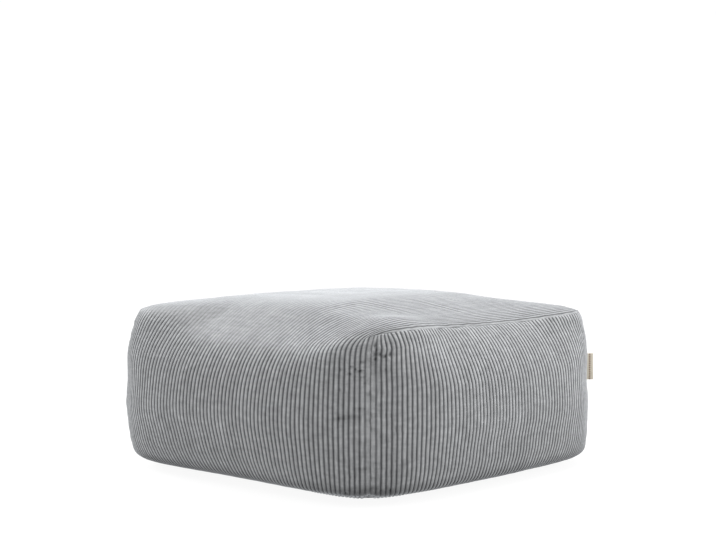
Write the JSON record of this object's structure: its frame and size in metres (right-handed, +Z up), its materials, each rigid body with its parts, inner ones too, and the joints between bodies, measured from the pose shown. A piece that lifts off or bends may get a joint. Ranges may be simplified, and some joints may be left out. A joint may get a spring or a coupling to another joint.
{
  "type": "bean bag footstool",
  "caption": "Low square bean bag footstool in wide-wale corduroy, a filled wrap with sewn-in end panels, a flat base and a small folded ribbon tab.",
  "frame": {"origin": "middle of the underside, on the floor", "axes": "+Z up; the wrap's front faces -Y and its back +Y; the end panels face +X and -X"},
  "size_m": [0.6983, 0.6977, 0.3031],
  "materials": {
    "corduroy": "soft matt cotton corduroy in cool grey, wide raised ribs with darker grooves",
    "ribbon": "plain woven cream ribbon, matt"
  },
  "bodies": {
    "root": {"wrap_cushion": "corduroy", "end_panel_right": "corduroy", "end_panel_left": "corduroy", "base_panel": "corduroy", "label_tab": "ribbon"}
  },
  "joints": []
}
